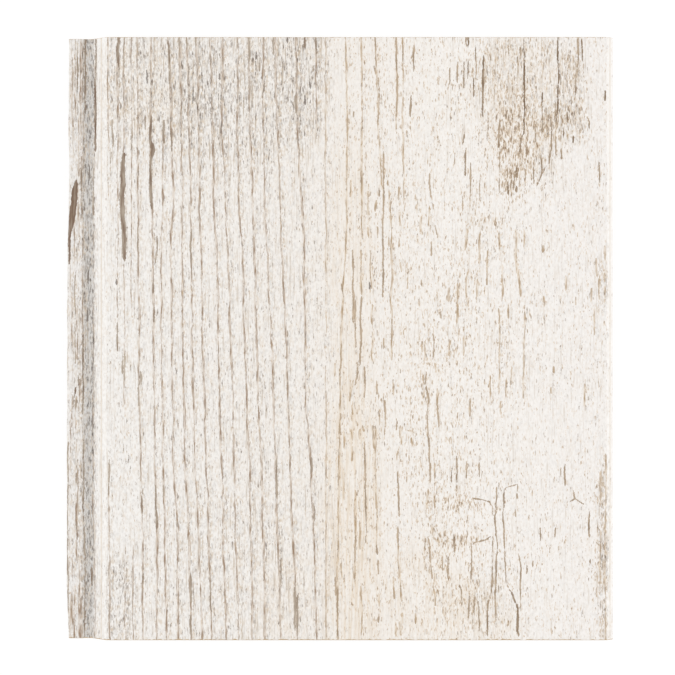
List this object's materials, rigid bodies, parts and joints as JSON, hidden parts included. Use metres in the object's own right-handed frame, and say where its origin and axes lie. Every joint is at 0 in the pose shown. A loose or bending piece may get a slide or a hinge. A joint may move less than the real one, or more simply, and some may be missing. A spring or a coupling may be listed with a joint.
{
  "type": "ceiling plank",
  "caption": "Short sawn length of tongue-and-groove ceiling plank with bevelled long edges and a printed whitewashed wood-grain face.",
  "frame": {"origin": "on the back face, in the middle of the overall width and of the length", "axes": "+X across the plank from the tongue edge to the groove edge, +Y along the plank, +Z from the back to the finished face"},
  "size_m": [0.1334, 0.1468, 0.012],
  "materials": {
    "fibreboard": "pressed fibreboard with a matt whitewashed wood-grain print on the face side"
  },
  "bodies": {
    "root": {"plank": "fibreboard"}
  },
  "joints": []
}
